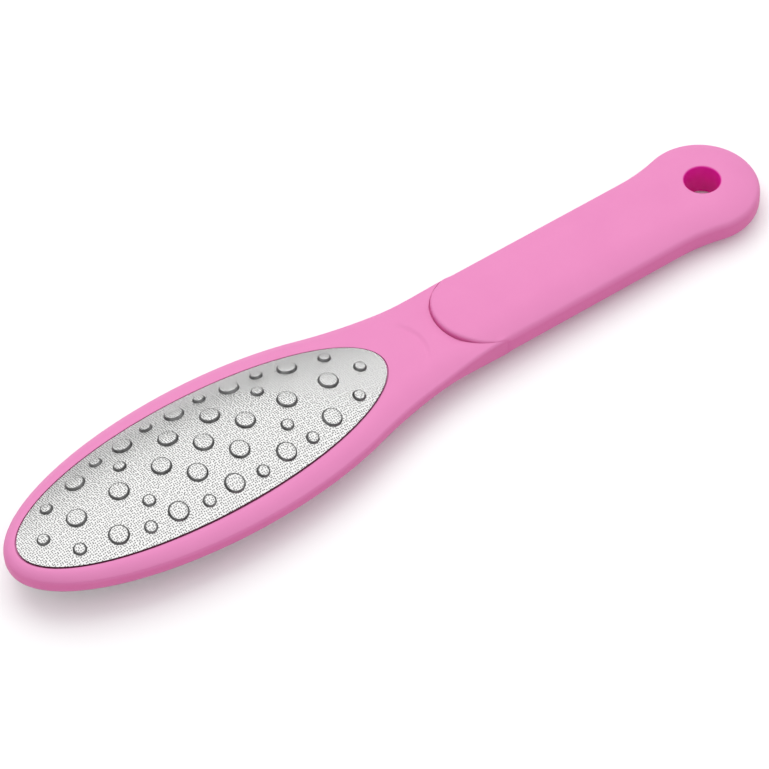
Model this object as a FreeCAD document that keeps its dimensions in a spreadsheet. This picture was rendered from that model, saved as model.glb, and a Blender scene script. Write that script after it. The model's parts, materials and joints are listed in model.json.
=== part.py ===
import FreeCAD, Part
import math
import os

import Sketcher
from FreeCAD import Vector

# Foot file: a hard frame with an oval head, a domed steel plate bonded into each face of the head,
# and a soft grip moulded over the frame's tang. Millimetres, +X from the head's tip to the hanging
# eye, +Z out of the coarse face. Heights are measured from the mid-plane and lengths along X from
# the middle of the plates, until each piece is placed in the part's frame at the end.

SIZES = {
    # plates: pressed sheet, an oval cut from an oval dome
    "plate_half_length": 51.7,
    "plate_half_width": 18.4,
    "plate_crown_radius": 39.0,
    "plate_rise": 0.3,
    "plate_sheet": 0.4,
    "bond_film": 0.15,
    "plate_gap": 0.35,
    # pressed bumps of the coarse plate
    "bump_height": 0.55,
    "bump_wall": 0.45,
    "bump_margin": 2.4,
    "big_bump_radius": 2.75,
    "small_bump_radius": 1.85,
    # rim round the plates: its widths at the tip, the neck and the sides, and its heights
    "rim_tip_width": 3.0,
    "rim_neck_width": 9.15,
    "rim_side_width": 5.1,
    "rim_crest_level": 3.2,
    "rim_slope_height": 1.9,
    "rim_edge_round": 0.7,
    "crest_inset": 0.8,
    # neck, from the recess to the grip's front, and where its edge and its crest turn straight
    "neck_length": 17.05,
    "neck_step": 0.15,
    "neck_crest_inset": 6.5,
    "edge_run_on": 9.5,
    "crest_run_up": 6.2,
    # recess under each plate
    "web_half": 1.1,
    "ledge_width": 2.6,
    "rib_thickness": 1.8,
    # thumb dimple on the neck
    "dimple_radius": 10.7,
    "dimple_gap": 5.6,
    "dimple_depth": 0.6,
    "dimple_tilt": 6.0,
    # tang inside the grip
    "tang_cover": 4.6,
    "tang_step": 0.3,
    "tang_root": 6.0,
    "hole_lining": 1.6,
    "window_radius": 3.4,
    # grip, its crown, its round front edge and its eye
    "grip_half_width": 13.1,
    "grip_rise": 1.4,
    "grip_crown": 1.8,
    "grip_crown_width": 7.0,
    "grip_side_round": 2.0,
    "grip_front_spare": 0.3,
    "grip_length": 81.0,
    "flare_radius": 48.0,
    "eye_flare": 2.1,
    "hole_offset": 0.6,
    "hole_radius": 4.6,
    "hole_edge_round": 0.5,
    # how far every cutter runs past what it cuts
    "overrun": 2.0,
}

# Bumps of the middle row, big ones and then the small one at each end, as shares of the plate's half length
MIDDLE_ROW_SHARES = (0.0, 0.232, 0.464, 0.696)
END_BUMP_SHARE = 0.876
# The row beside it: its distance from the middle as a share of the half width, then its bumps along it
SIDE_ROW_WIDTH_SHARE = 0.352
SIDE_ROW_BIG_SHARE = 0.116
SIDE_ROW_SMALL_SHARE = 0.381
# Bumps along the long edges
BIG_EDGE_SHARES = (0.0, 0.297, 0.588)
SMALL_EDGE_SHARES = (0.148, 0.446, 0.771)
# How deep a bump is rooted in the sheet
BUMP_SINK_SHARE = 0.75
# Where the rounded rim passes on its way from the outer edge to the crest
RIM_INSET_SHARE = 0.42
RIM_RISE_SHARE = 0.70
# Ribs along the plate, and windows along the grip
RIB_PITCH_SHARE = 0.29
WINDOW_START_SHARE = 0.261
WINDOW_PITCH_SHARE = 0.187
# How far back the grip's round front reaches along its sides, and the roll of its edge
FRONT_WRAP_SHARE = 0.597
FRONT_ROUND_SHARE = 0.75
# How near a point counts as on a level or a circle, as a share of the overrun
MATCH_SHARE = 1e-4
WINDOW_COUNT = 4
RIBS_EACH_SIDE = 3
HALVINGS = 60

doc = FreeCAD.newDocument("foot_file")
sheet = doc.addObject("Spreadsheet::Sheet", "Sizes")
for row, (alias, number) in enumerate(SIZES.items(), start=1):
    cell = "A%d" % row
    sheet.set(cell, str(number))
    sheet.setAlias(cell, alias)
doc.recompute()


def size(alias):
    return "Sizes." + alias


def value_of(expression):
    return float(sheet.evalExpression(expression))


def bind(thing, bindings):
    for prop, expression in bindings.items():
        thing.setExpression(prop, expression)
    return thing


def add(kind, name, **bindings):
    return bind(doc.addObject(kind, name), bindings)


def place(thing, x="0", y="0", z="0"):
    places = {"Placement.Base.x": x, "Placement.Base.y": y, "Placement.Base.z": z}
    return bind(thing, places)


def tilt(thing, axis, angle):
    thing.Placement = FreeCAD.Placement(Vector(), FreeCAD.Rotation(axis, 1))
    thing.setExpression("Placement.Rotation.Angle", angle)
    return thing


# Shared expressions: recess, head, neck and grip

POCKET_HALF_LENGTH = "(Sizes.plate_half_length + Sizes.plate_gap)"
POCKET_HALF_WIDTH = "(Sizes.plate_half_width + Sizes.plate_gap)"
HEAD_HALF_LENGTH = "({0} + (Sizes.rim_tip_width + Sizes.rim_neck_width) / 2)".format(POCKET_HALF_LENGTH)
HEAD_HALF_WIDTH = "({0} + Sizes.rim_side_width)".format(POCKET_HALF_WIDTH)
HEAD_CENTRE = "((Sizes.rim_neck_width - Sizes.rim_tip_width) / 2)"
RIM_EDGE_LEVEL = "(Sizes.rim_crest_level - Sizes.rim_slope_height)"
NECK_HALF_WIDTH = "(Sizes.grip_half_width - Sizes.neck_step)"
GRIP_FRONT = "({0} + Sizes.neck_length)".format(POCKET_HALF_LENGTH)
GRIP_HALF_THICKNESS = "(Sizes.rim_crest_level + Sizes.grip_rise)"
GRIP_EDGE_LEVEL = "({0} - Sizes.grip_crown)".format(GRIP_HALF_THICKNESS)
FRONT_RADIUS = "(Sizes.grip_half_width + Sizes.grip_front_spare)"
FRONT_CENTRE = "({0} + {1})".format(GRIP_FRONT, FRONT_RADIUS)
FRONT_SWING = "2 * acos(1 - {0})".format(FRONT_WRAP_SHARE)
EYE_CENTRE = "({0} + Sizes.grip_length)".format(GRIP_FRONT)
EYE_RADIUS = "(Sizes.grip_half_width + Sizes.eye_flare)"
HOLE_CENTRE = "({0} + Sizes.hole_offset)".format(EYE_CENTRE)

# Shared expressions: the oval dome that the plates, films and rib tops follow

CROWN = size("plate_crown_radius")
PLATE_EDGE_LEVEL = "(Sizes.rim_crest_level + Sizes.plate_rise)"
DOME_CENTRE = "({0} - sqrt({1}^2 - Sizes.plate_half_width^2))".format(PLATE_EDGE_LEVEL, CROWN)
DOME_TOP = "({0} + {1})".format(DOME_CENTRE, CROWN)
DOME_SAG = "({0} - {1})".format(DOME_TOP, PLATE_EDGE_LEVEL)
DOME_LONG = "((Sizes.plate_half_length^2 + {0}^2) / (2 * {0}))".format(DOME_SAG)
CUT_TOP = "({0} + Sizes.bump_height + Sizes.overrun)".format(DOME_TOP)


# Sketches

def origin_plane(body, role):
    return next(f for f in body.Origin.OriginFeatures if f.Role == role)


def new_sketch(body, name, role="XY_Plane", level="0"):
    sketch = body.newObject("Sketcher::SketchObject", name)
    sketch.AttachmentSupport = [(origin_plane(body, role), "")]
    sketch.MapMode = "FlatFace"
    sketch.setExpression("AttachmentOffset.Base.z", level)
    return sketch


def constrain(sketch, *constraints):
    """Each constraint is a kind with curves, and points of them: 1 a start, 2 an end, 3 a centre."""
    for constraint in constraints:
        sketch.addConstraint(Sketcher.Constraint(*constraint))


def dimension(sketch, name, expression, kind, *where):
    constraint = Sketcher.Constraint(kind, *where, value_of(expression))
    sketch.renameConstraint(sketch.addConstraint(constraint), name)
    sketch.setExpression("Constraints." + name, expression)


def arc(centre, radius, start, end):
    return Part.ArcOfCircle(Part.Circle(centre, Vector(0, 0, 1), radius), start, end)


def departure(half_length, half_width, neck, straight):
    """Where an arc leaves an ellipse, both about the origin, to touch the neck's side at x = straight.

    Returns the ellipse's parameter there, the slope and the arc's radius.
    """
    low, high = math.asin(neck / half_width), 0.5 * math.pi
    for _ in range(HALVINGS):
        turn = (low + high) / 2
        x, y = half_length * math.cos(turn), half_width * math.sin(turn)
        slope = math.atan2(half_width * math.cos(turn), half_length * math.sin(turn))
        if x + (y - neck) / math.tan(slope / 2) < straight:
            low = turn
        else:
            high = turn
    return turn, slope, (y - neck) / (1 - math.cos(slope))


def spoon_outline(body, name, level, half_length, half_width, centre, straight, neck):
    """Head ellipse with a straight neck, joined by a hollow arc on each side; sizes are expressions."""
    sketch = new_sketch(body, name, level=level)
    a, b, c = value_of(half_length), value_of(half_width), value_of(centre)
    meet, w, end = value_of(straight), value_of(neck), value_of(FRONT_CENTRE)
    turn, slope, radius = departure(a, b, w, meet - c)
    ellipse = Part.Ellipse(Vector(c + a, 0, 0), Vector(c, b, 0), Vector(c, 0, 0))
    down, up = 1.5 * math.pi, 0.5 * math.pi
    sketch.addGeometry(
        [
            Part.ArcOfEllipse(ellipse, turn, 2 * math.pi - turn),
            arc(Vector(meet, w + radius, 0), radius, down - slope, down),
            Part.LineSegment(Vector(meet, w, 0), Vector(end, w, 0)),
            Part.LineSegment(Vector(end, w, 0), Vector(end, -w, 0)),
            Part.LineSegment(Vector(end, -w, 0), Vector(meet, -w, 0)),
            arc(Vector(meet, -w - radius, 0), radius, up, up + slope),
        ],
        False,
    )
    sketch.exposeInternalGeometry(0)
    constrain(
        sketch,
        ("Tangent", 0, 1, 1, 1),
        ("Tangent", 1, 2, 2, 1),
        ("Coincident", 2, 2, 3, 1),
        ("Coincident", 3, 2, 4, 1),
        ("Tangent", 4, 2, 5, 1),
        ("Tangent", 5, 2, 0, 2),
    )
    constrain(
        sketch,
        ("Horizontal", 2),
        ("Vertical", 3),
        ("Horizontal", 4),
        ("PointOnObject", 0, 3, -1),
        ("Horizontal", 6),
        ("Vertical", 0, 1, 0, 2),
    )
    tip = 1 if sketch.getPoint(6, 1).x < sketch.getPoint(6, 2).x else 2
    dimension(sketch, "length", "2 * (%s)" % half_length, "Distance", 6)
    dimension(sketch, "width", "2 * (%s)" % half_width, "Distance", 7)
    dimension(sketch, "tip", "(%s) - (%s)" % (half_length, centre), "DistanceX", 6, tip, -1, 1)
    dimension(sketch, "straight", straight, "DistanceX", -1, 1, 2, 1)
    dimension(sketch, "neck", neck, "DistanceY", -1, 1, 3, 1)
    dimension(sketch, "end", "2 * (%s)" % neck, "Distance", 3)
    dimension(sketch, "tail", FRONT_CENTRE, "DistanceX", -1, 1, 3, 1)
    return sketch


def grip_outline(body, name):
    """Straight sides from a square front, a hollow flare on each side and the round eye."""
    sketch = new_sketch(body, name)
    front, w = value_of(GRIP_FRONT), value_of(size("grip_half_width"))
    flare, eye = value_of(size("flare_radius")), value_of(EYE_RADIUS)
    centre = value_of(EYE_CENTRE)
    away = math.sqrt((eye + flare) ** 2 - (w + flare) ** 2)
    start = centre - away
    swing = math.atan2(away, w + flare)
    down, up = 1.5 * math.pi, 0.5 * math.pi
    sketch.addGeometry(
        [
            Part.LineSegment(Vector(front, -w, 0), Vector(front, w, 0)),
            Part.LineSegment(Vector(front, w, 0), Vector(start, w, 0)),
            arc(Vector(start, w + flare, 0), flare, down, down + swing),
            arc(Vector(centre, 0, 0), eye, -up - swing, up + swing),
            arc(Vector(start, -w - flare, 0), flare, up - swing, up),
            Part.LineSegment(Vector(start, -w, 0), Vector(front, -w, 0)),
        ],
        False,
    )
    constrain(
        sketch,
        ("Coincident", 0, 2, 1, 1),
        ("Tangent", 1, 2, 2, 1),
        ("Tangent", 2, 2, 3, 2),
        ("Tangent", 3, 1, 4, 1),
        ("Tangent", 4, 2, 5, 1),
        ("Coincident", 5, 2, 0, 1),
    )
    constrain(
        sketch,
        ("Vertical", 0),
        ("Horizontal", 1),
        ("Horizontal", 5),
        ("PointOnObject", 3, 3, -1),
        ("Equal", 2, 4),
    )
    dimension(sketch, "front", GRIP_FRONT, "DistanceX", -1, 1, 0, 1)
    dimension(sketch, "half_width", size("grip_half_width"), "DistanceY", -1, 1, 0, 2)
    dimension(sketch, "width", "2 * " + size("grip_half_width"), "Distance", 0)
    dimension(sketch, "flare", size("flare_radius"), "Radius", 2)
    dimension(sketch, "eye", EYE_RADIUS, "Radius", 3)
    dimension(sketch, "eye_place", EYE_CENTRE, "DistanceX", -1, 1, 3, 3)
    return sketch


def circle(body, name, x, radius):
    sketch = new_sketch(body, name)
    sketch.addGeometry(Part.Circle(Vector(value_of(x), 0, 0), Vector(0, 0, 1), value_of(radius)), False)
    constrain(sketch, ("PointOnObject", 0, 3, -1))
    dimension(sketch, "place", x, "DistanceX", -1, 1, 0, 3)
    dimension(sketch, "radius", radius, "Radius", 0)
    return sketch


def strip(body, name, x_start, x_end, half_width):
    """Rectangle lying along the X axis, half of it on each side."""
    sketch = new_sketch(body, name)
    x0, x1, w = value_of(x_start), value_of(x_end), value_of(half_width)
    corners = [Vector(x0, -w, 0), Vector(x1, -w, 0), Vector(x1, w, 0), Vector(x0, w, 0)]
    sides = [Part.LineSegment(corners[i - 1], corners[i]) for i in range(len(corners))]
    sketch.addGeometry(sides, False)
    joints = [("Coincident", i - 1, 2, i, 1) for i in range(1, len(sides))]
    constrain(sketch, *joints, ("Coincident", len(sides) - 1, 2, 0, 1))
    constrain(sketch, ("Vertical", 0), ("Horizontal", 1), ("Vertical", 2), ("Horizontal", 3))
    dimension(sketch, "start", x_start, "DistanceX", -1, 1, 0, 2)
    dimension(sketch, "end", x_end, "DistanceX", -1, 1, 1, 2)
    dimension(sketch, "half_width", half_width, "DistanceY", 0, 2, -1, 1)
    dimension(sketch, "width", "2 * (%s)" % half_width, "DistanceY", 0, 2, 0, 1)
    return sketch


# Features

def pad_both_ways(body, name, sketch, half_height):
    pad = body.newObject("PartDesign::Pad", name)
    pad.Profile = sketch
    pad.SideType = "Symmetric"
    pad.setExpression("Length", "2 * (%s)" % half_height)
    doc.recompute()
    return pad


def pocket_through(body, name, sketch):
    before = body.Shape.Volume
    pocket = body.newObject("PartDesign::Pocket", name)
    pocket.Profile = sketch
    pocket.SideType = "Symmetric"
    pocket.Type = "ThroughAll"
    doc.recompute()
    print("%s removes %.1f mm3" % (name, before - body.Shape.Volume))
    return pocket


def edge_names(shape, wanted):
    return ["Edge%d" % i for i, edge in enumerate(shape.Edges, start=1) if wanted(edge)]


def edge_points(edge):
    first, last = edge.ParameterRange
    middle = (first + last) / 2
    return [edge.valueAt(t) for t in (first, middle, last)]


def matches(length, wanted):
    return abs(length - wanted) < MATCH_SHARE * value_of(size("overrun"))


def lies_at(level, edge):
    """Whether an edge lies flat, level above or below the mid-plane."""
    return all(matches(abs(p.z), level) for p in edge_points(edge))


def round_edges(body, name, radius, wanted):
    base = body.Tip
    fillet = body.newObject("PartDesign::Fillet", name)
    fillet.Base = (base, edge_names(base.Shape, wanted))
    fillet.setExpression("Radius", radius)
    doc.recompute()
    return fillet


def ellipse_prism(name, half_length, half_width, bottom, height):
    """Upright prism on an oval about the middle of the plates."""
    oval = add("Part::Ellipse", name + "_oval", MajorRadius=half_length, MinorRadius=half_width)
    place(oval, z=bottom)
    prism = doc.addObject("Part::Extrusion", name)
    prism.Base = oval
    prism.DirMode = "Custom"
    prism.Dir = Vector(0, 0, 1)
    prism.Solid = True
    prism.setExpression("LengthFwd", height)
    return prism


def boolean(kind, name, base, tool):
    result = doc.addObject("Part::" + kind, name)
    result.Base = base
    result.Tool = tool
    return result


def fuse_all(name, pieces):
    result = doc.addObject("Part::MultiFuse", name)
    result.Shapes = pieces
    return result


def turned_over(name, source):
    """The same piece on the back face."""
    mirror = doc.addObject("Part::Mirroring", name)
    mirror.Source = source
    mirror.Normal = Vector(0, 0, 1)
    return mirror


def dome(name, depth):
    """Half barrel that lies depth under the outer face of the plates, turned about a line along X."""
    body = doc.addObject("PartDesign::Body", name)
    sketch = new_sketch(body, name + "_profile", role="XZ_Plane")
    radius = "%s - (%s)" % (DOME_LONG, depth)
    reach = "Sizes.plate_half_length + Sizes.overrun"
    below = "%s - %s" % (DOME_LONG, DOME_TOP)
    r, x, base = value_of(radius), value_of(reach), value_of(DOME_CENTRE)
    middle = Vector(0, -value_of(below), 0)
    swing = math.asin(x / r)
    side = middle.y + r * math.cos(swing)
    sketch.addGeometry(
        [
            arc(middle, r, 0.5 * math.pi - swing, 0.5 * math.pi + swing),
            Part.LineSegment(Vector(-x, side, 0), Vector(-x, base, 0)),
            Part.LineSegment(Vector(-x, base, 0), Vector(x, base, 0)),
            Part.LineSegment(Vector(x, base, 0), Vector(x, side, 0)),
        ],
        False,
    )
    constrain(
        sketch,
        ("Coincident", 0, 2, 1, 1),
        ("Coincident", 1, 2, 2, 1),
        ("Coincident", 2, 2, 3, 1),
        ("Coincident", 3, 2, 0, 1),
    )
    constrain(sketch, ("Vertical", 1), ("Horizontal", 2), ("Vertical", 3), ("PointOnObject", 0, 3, -2))
    dimension(sketch, "radius", radius, "Radius", 0)
    dimension(sketch, "below", below, "DistanceY", 0, 3, -1, 1)
    dimension(sketch, "base", "-" + DOME_CENTRE, "DistanceY", 2, 1, -1, 1)
    dimension(sketch, "reach", reach, "DistanceX", -1, 1, 2, 2)
    dimension(sketch, "length", "2 * (%s)" % reach, "DistanceX", 2, 1, 2, 2)
    barrel = body.newObject("PartDesign::Revolution", name + "_barrel")
    barrel.Profile = sketch
    barrel.ReferenceAxis = (sketch, ["Edge3"])
    barrel.Midplane = True
    barrel.Angle = 180
    doc.recompute()
    return body


# Frame

def between(outer, inner):
    return "((%s) + %s * ((%s) - (%s)))" % (outer, RIM_INSET_SHARE, inner, outer)


def head_body():
    """Head and neck with a rounded rim; the neck runs on to the middle of the grip's round front."""
    body = doc.addObject("PartDesign::Body", "head_blank")
    crest_length = "(%s - Sizes.crest_inset)" % POCKET_HALF_LENGTH
    crest_width = "(%s - Sizes.crest_inset)" % POCKET_HALF_WIDTH
    edge_straight = "(%s + Sizes.edge_run_on)" % GRIP_FRONT
    crest_straight = "(%s - Sizes.crest_run_up)" % GRIP_FRONT
    neck_crest = "(%s - Sizes.neck_crest_inset)" % NECK_HALF_WIDTH
    edge = [HEAD_HALF_LENGTH, HEAD_HALF_WIDTH, HEAD_CENTRE, edge_straight, NECK_HALF_WIDTH]
    crest = [crest_length, crest_width, "0", crest_straight, neck_crest]
    waist = [between(outer, inner) for outer, inner in zip(edge, crest)]
    crest_level = size("rim_crest_level")
    waist_level = "%s + %s * Sizes.rim_slope_height" % (RIM_EDGE_LEVEL, RIM_RISE_SHARE)

    pad_both_ways(body, "wall", spoon_outline(body, "outline", "0", *edge), RIM_EDGE_LEVEL)
    loft = body.newObject("PartDesign::AdditiveLoft", "rim")
    loft.Profile = spoon_outline(body, "rim_edge", RIM_EDGE_LEVEL, *edge)
    loft.Sections = [
        spoon_outline(body, "rim_waist", waist_level, *waist),
        spoon_outline(body, "rim_crest", crest_level, *crest),
    ]
    doc.recompute()
    mirror = body.newObject("PartDesign::Mirrored", "rim_both_faces")
    mirror.Originals = [loft]
    mirror.MirrorPlane = (origin_plane(body, "XY_Plane"), [""])
    body.Tip = mirror
    doc.recompute()

    level, tail = value_of(RIM_EDGE_LEVEL), value_of(FRONT_CENTRE)
    reach = value_of(size("overrun"))

    def on_outer_edge(edge):
        return lies_at(level, edge) and any(p.x < tail - reach for p in edge_points(edge))

    round_edges(body, "rim_edge_rounding", size("rim_edge_round"), on_outer_edge)
    return body


def tang_body():
    """Flat bar from the neck to a ring around the hanging hole, with windows that the grip fills."""
    body = doc.addObject("PartDesign::Body", "tang")
    half = "(%s - Sizes.tang_step)" % RIM_EDGE_LEVEL
    root = "(%s - Sizes.tang_root)" % GRIP_FRONT
    sides = strip(body, "tang_sides", root, HOLE_CENTRE, "(Sizes.grip_half_width - Sizes.tang_cover)")
    pad_both_ways(body, "tang_bar", sides, half)
    ring = circle(body, "tang_ring_edge", HOLE_CENTRE, "(%s - Sizes.tang_cover)" % EYE_RADIUS)
    pad_both_ways(body, "tang_ring", ring, half)
    lining = "(Sizes.hole_radius + Sizes.hole_lining)"
    pocket_through(body, "tang_ring_hole", circle(body, "ring_hole_edge", HOLE_CENTRE, lining))
    first = "(%s + %s * Sizes.grip_length)" % (GRIP_FRONT, WINDOW_START_SHARE)
    window = pocket_through(body, "tang_window", circle(body, "window_edge", first, size("window_radius")))
    row = body.newObject("PartDesign::LinearPattern", "tang_windows")
    row.Originals = [window]
    row.Direction = (origin_plane(body, "X_Axis"), [""])
    row.setExpression("Length", "%d * %s * Sizes.grip_length" % (WINDOW_COUNT - 1, WINDOW_PITCH_SHARE))
    row.Occurrences = WINDOW_COUNT
    body.Tip = row
    doc.recompute()
    return body


def recess_cutter(support):
    """What one plate recess removes: all above the support dome, and the bays between the ribs."""
    bottom, height = size("web_half"), "%s - Sizes.web_half" % CUT_TOP
    prism = ellipse_prism("recess_prism", POCKET_HALF_LENGTH, POCKET_HALF_WIDTH, bottom, height)
    above = boolean("Cut", "above_support", prism, support)
    bay_length = "(%s - Sizes.ledge_width)" % POCKET_HALF_LENGTH
    bay_width = "(%s - Sizes.ledge_width)" % POCKET_HALF_WIDTH
    bays = ellipse_prism("bay_prism", bay_length, bay_width, bottom, height)
    keel = add("Part::Box", "keel_rib", Length="2 * Sizes.plate_half_length", Width=size("rib_thickness"),
               Height=height)
    place(keel, "-Sizes.plate_half_length", "-Sizes.rib_thickness / 2", bottom)
    ribs = [keel]
    for i in range(-RIBS_EACH_SIDE, RIBS_EACH_SIDE + 1):
        rib = add("Part::Box", "cross_rib_%d" % (i + RIBS_EACH_SIDE), Length=size("rib_thickness"),
                  Width="2 * Sizes.plate_half_width", Height=height)
        x = "%d * %s * Sizes.plate_half_length - Sizes.rib_thickness / 2" % (i, RIB_PITCH_SHARE)
        ribs.append(place(rib, x, "-Sizes.plate_half_width", bottom))
    bays = boolean("Cut", "rib_bays", bays, fuse_all("ribs", ribs))
    return fuse_all("recess", [above, bays])


def dimple_cutter():
    """Tilted disc: its floor starts flush with the neck and ends in a low curved wall towards the grip."""
    disc = add("Part::Cylinder", "dimple", Radius=size("dimple_radius"),
               Height="Sizes.dimple_radius")
    tilt(disc, Vector(0, 1, 0), size("dimple_tilt"))
    lean = "(Sizes.dimple_tilt * 1deg)"
    x = "%s - Sizes.dimple_gap - Sizes.dimple_radius * cos(%s)" % (GRIP_FRONT, lean)
    z = "Sizes.rim_crest_level - Sizes.dimple_depth + Sizes.dimple_radius * sin(%s)" % lean
    return place(disc, x=x, z=z)


def make_frame(grip_blank, tang, support):
    """Head cut back to the grip's front, joined to the tang, with a recess and a dimple in each face."""
    head = boolean("Cut", "seated_head", head_body(), grip_blank)
    face_cuts = fuse_all("front_cuts", [recess_cutter(support), dimple_cutter()])
    both = fuse_all("frame_cuts", [face_cuts, turned_over("back_cuts", face_cuts)])
    return boolean("Cut", "core_frame", fuse_all("head_and_tang", [head, tang]), both)


# Grip

def front_groove(body):
    """Turn the grip's square front into a round one, with a rolled edge at its top and bottom.

    The round stops short of the sides, so the neck ends in blunt horns and not in sharp ones.
    """
    sketch = new_sketch(body, "front_edge", role="XZ_Plane")
    roll, half = "%s * Sizes.grip_rise" % FRONT_ROUND_SHARE, GRIP_HALF_THICKNESS
    over = size("overrun")
    x_axis, r, h = value_of(FRONT_CENTRE), value_of(roll), value_of(half)
    x, out = value_of(GRIP_FRONT), value_of(over)
    low, high = -h - out, h + out
    left, inner = x - x_axis, x + r
    points = [
        Vector(left, high, 0), Vector(left, low, 0), Vector(inner, low, 0), Vector(inner, -h, 0),
        Vector(x, r - h, 0), Vector(x, h - r, 0), Vector(inner, h, 0), Vector(inner, high, 0),
    ]
    top_roll = arc(Vector(inner, h - r, 0), r, 0.5 * math.pi, math.pi)
    low_roll = arc(Vector(inner, r - h, 0), r, math.pi, 1.5 * math.pi)
    ends = ((0, 1), (1, 2), (2, 3), (4, 5), (6, 7), (7, 0))
    lines = [Part.LineSegment(points[i], points[j]) for i, j in ends]
    sketch.addGeometry(lines + [low_roll, top_roll], False)
    sketch.addGeometry(Part.LineSegment(Vector(x_axis, low, 0), Vector(x_axis, high, 0)), True)
    constrain(
        sketch,
        ("Coincident", 0, 2, 1, 1),
        ("Coincident", 1, 2, 2, 1),
        ("Coincident", 2, 2, 6, 2),
        ("Tangent", 6, 1, 3, 1),
        ("Tangent", 3, 2, 7, 2),
        ("Coincident", 7, 1, 4, 1),
        ("Coincident", 4, 2, 5, 1),
        ("Coincident", 5, 2, 0, 1),
    )
    constrain(
        sketch,
        ("Vertical", 0),
        ("Horizontal", 1),
        ("Vertical", 2),
        ("Vertical", 3),
        ("Vertical", 4),
        ("Horizontal", 5),
        ("Vertical", 8),
        ("Equal", 6, 7),
        ("Vertical", 6, 3, 6, 2),
        ("Vertical", 7, 3, 7, 1),
        ("Horizontal", 8, 1, 1, 1),
        ("Horizontal", 8, 2, 5, 1),
    )
    dimension(sketch, "roll", roll, "Radius", 6)
    dimension(sketch, "front", GRIP_FRONT, "DistanceX", -1, 1, 3, 1)
    dimension(sketch, "axis", FRONT_CENTRE, "DistanceX", -1, 1, 8, 1)
    dimension(sketch, "reach", FRONT_CENTRE, "DistanceX", 0, 1, 3, 1)
    dimension(sketch, "half_height", half, "DistanceY", -1, 1, 7, 1)
    dimension(sketch, "height", "2 * " + half, "DistanceY", 6, 2, 7, 1)
    dimension(sketch, "high", "%s + %s" % (half, over), "DistanceY", -1, 1, 0, 1)
    dimension(sketch, "tall", "2 * (%s + %s)" % (half, over), "DistanceY", 0, 2, 0, 1)
    before = body.Shape.Volume
    groove = body.newObject("PartDesign::Groove", "round_front")
    groove.Profile = sketch
    groove.ReferenceAxis = (sketch, ["Axis0"])
    groove.Midplane = True
    groove.setExpression("Angle", FRONT_SWING)
    doc.recompute()
    print("round_front removes %.1f mm3" % (before - body.Shape.Volume))


def grip_body():
    """Sleeve seen from outside: crowned faces, rounded sides, round front, flared eye and hanging hole."""
    body = doc.addObject("PartDesign::Body", "grip_blank")
    pad_both_ways(body, "bar", grip_outline(body, "grip_sides"), GRIP_HALF_THICKNESS)
    top, front = value_of(GRIP_HALF_THICKNESS), value_of(GRIP_FRONT)
    side_level = value_of(GRIP_EDGE_LEVEL)

    def along_sides(edge):
        return lies_at(top, edge) and not all(matches(p.x, front) for p in edge_points(edge))

    def along_outline(edge):
        return lies_at(side_level, edge) and not all(matches(p.x, front) for p in edge_points(edge))

    bar = body.Tip
    crown = body.newObject("PartDesign::Chamfer", "crown")
    crown.Base = (bar, edge_names(bar.Shape, along_sides))
    crown.ChamferType = "Two distances"
    crown.setExpression("Size", size("grip_crown"))
    crown.setExpression("Size2", size("grip_crown_width"))
    doc.recompute()
    round_edges(body, "side_rounding", size("grip_side_round"), along_outline)
    front_groove(body)
    pocket_through(body, "hanging_hole", circle(body, "hole_edge", HOLE_CENTRE, size("hole_radius")))
    hole, bore = value_of(HOLE_CENTRE), value_of(size("hole_radius"))

    def round_the_hole(edge):
        points = edge_points(edge)
        return lies_at(top, edge) and all(matches(math.hypot(p.x - hole, p.y), bore) for p in points)

    round_edges(body, "hole_rounding", size("hole_edge_round"), round_the_hole)
    return body


# Plates and films

def bump_places():
    """Every bump as (x, y, radius at its foot), symmetric about both axes of the plate."""
    big, small = size("big_bump_radius"), size("small_bump_radius")
    length, width = size("plate_half_length"), size("plate_half_width")
    rows = [("0", MIDDLE_ROW_SHARES, big), ("0", (END_BUMP_SHARE,), small)]
    for across in (-1, 1):
        row = "%d * %s * %s" % (across, SIDE_ROW_WIDTH_SHARE, width)
        rows += [(row, (SIDE_ROW_BIG_SHARE,), big), (row, (SIDE_ROW_SMALL_SHARE,), small)]
        for shares, radius in ((BIG_EDGE_SHARES, big), (SMALL_EDGE_SHARES, small)):
            for share in shares:
                edge = "%s * sqrt(1 - %s^2)" % (width, share)
                y = "%d * (%s - %s - Sizes.bump_margin)" % (across, edge, radius)
                rows.append((y, (share,), radius))
    return [
        ("%d * %s * %s" % (along, share, length), y, radius)
        for y, shares, radius in rows
        for share in shares
        for along in ((-1, 1) if share else (1,))
    ]


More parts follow.
